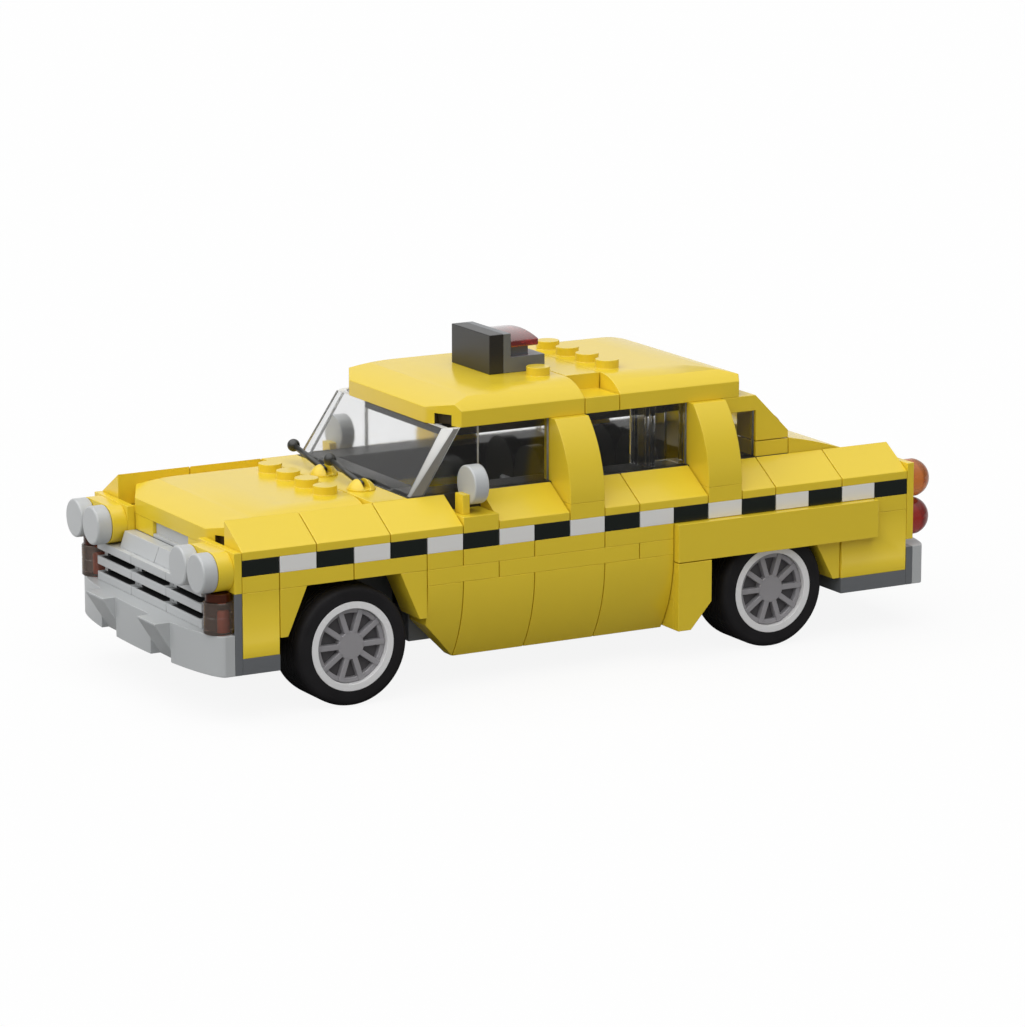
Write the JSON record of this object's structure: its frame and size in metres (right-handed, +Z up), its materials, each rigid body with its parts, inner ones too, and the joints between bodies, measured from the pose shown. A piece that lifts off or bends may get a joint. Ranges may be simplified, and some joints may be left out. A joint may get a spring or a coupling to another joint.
{
  "type": "toy brick-built taxi car",
  "caption": "Toy taxi built from studded plastic bricks, with a checked stripe, a blank roof sign, round lamps and free-turning wheels.",
  "frame": {"origin": "on the ground, under the middle of the car's overall length and width", "axes": "+X forward along the car's length, +Y to the car's left, +Z up"},
  "size_m": [0.1714, 0.0672, 0.0654],
  "materials": {
    "yellow": "gloss",
    "black": "gloss",
    "white": "gloss",
    "light_grey": "gloss",
    "dark_grey": "gloss",
    "tyre": "satin",
    "clear": "clear",
    "red_clear": "translucent",
    "orange_clear": "translucent"
  },
  "bodies": {
    "car": {"base_plate": "dark_grey", "axle_carriers": "dark_grey", "cabin_walls": "dark_grey", "door_panels": "yellow", "sill_plates": "yellow", "lower_corners": "yellow", "arch_wedges": "yellow", "belt_plates": "yellow", "rear_panels": "yellow", "upper_plates": "yellow", "fender_slopes": "yellow", "bonnet": "yellow", "cowl": "yellow", "boot_lid": "yellow", "cabin_sills": "dark_grey", "pillars": "yellow", "windscreen": "clear", "windows": "clear", "roof_liner": "dark_grey", "rear_quarters": "yellow", "seats": "dark_grey", "dashboard": "dark_grey", "bumper_brackets": "dark_grey", "grille": "light_grey", "grille_trim": "light_grey", "lamp_brackets": "yellow", "lamp_housings": "yellow", "headlamps": "light_grey", "indicators": "orange_clear", "checks_black": "black", "checks_white": "white", "roof_front": "yellow", "roof_middle": "yellow", "roof_rear": "yellow", "front_wall": "dark_grey", "tail_block": "yellow", "front_bumper": "light_grey", "rear_bumper": "light_grey", "tail_lamps_upper": "orange_clear", "tail_lamps_lower": "red_clear", "sign_bracket": "dark_grey", "sign": "black", "sign_lamp": "red_clear", "mirror_holders": "yellow", "mirrors": "light_grey", "wiper_bases": "yellow", "wiper_levers": "black"},
    "wheel_front_left": {"tyre_front_left": "tyre", "rim_front_left": "white", "cover_front_left": "light_grey"},
    "wheel_front_right": {"tyre_front_right": "tyre", "rim_front_right": "white", "cover_front_right": "light_grey"},
    "wheel_rear_left": {"tyre_rear_left": "tyre", "rim_rear_left": "white", "cover_rear_left": "light_grey"},
    "wheel_rear_right": {"tyre_rear_right": "tyre", "rim_rear_right": "white", "cover_rear_right": "light_grey"}
  },
  "joints": [
    {"name": "front_left_spin", "type": "hinge", "parent": "car", "child": "wheel_front_left", "pos_m": [0.0507, 0, 0.012], "axis": [0, 1, 0], "continuous": true},
    {"name": "front_right_spin", "type": "hinge", "parent": "car", "child": "wheel_front_right", "pos_m": [0.0507, 0, 0.012], "axis": [0, 1, 0], "continuous": true},
    {"name": "rear_left_spin", "type": "hinge", "parent": "car", "child": "wheel_rear_left", "pos_m": [-0.0453, 0, 0.012], "axis": [0, 1, 0], "continuous": true},
    {"name": "rear_right_spin", "type": "hinge", "parent": "car", "child": "wheel_rear_right", "pos_m": [-0.0453, 0, 0.012], "axis": [0, 1, 0], "continuous": true}
  ]
}
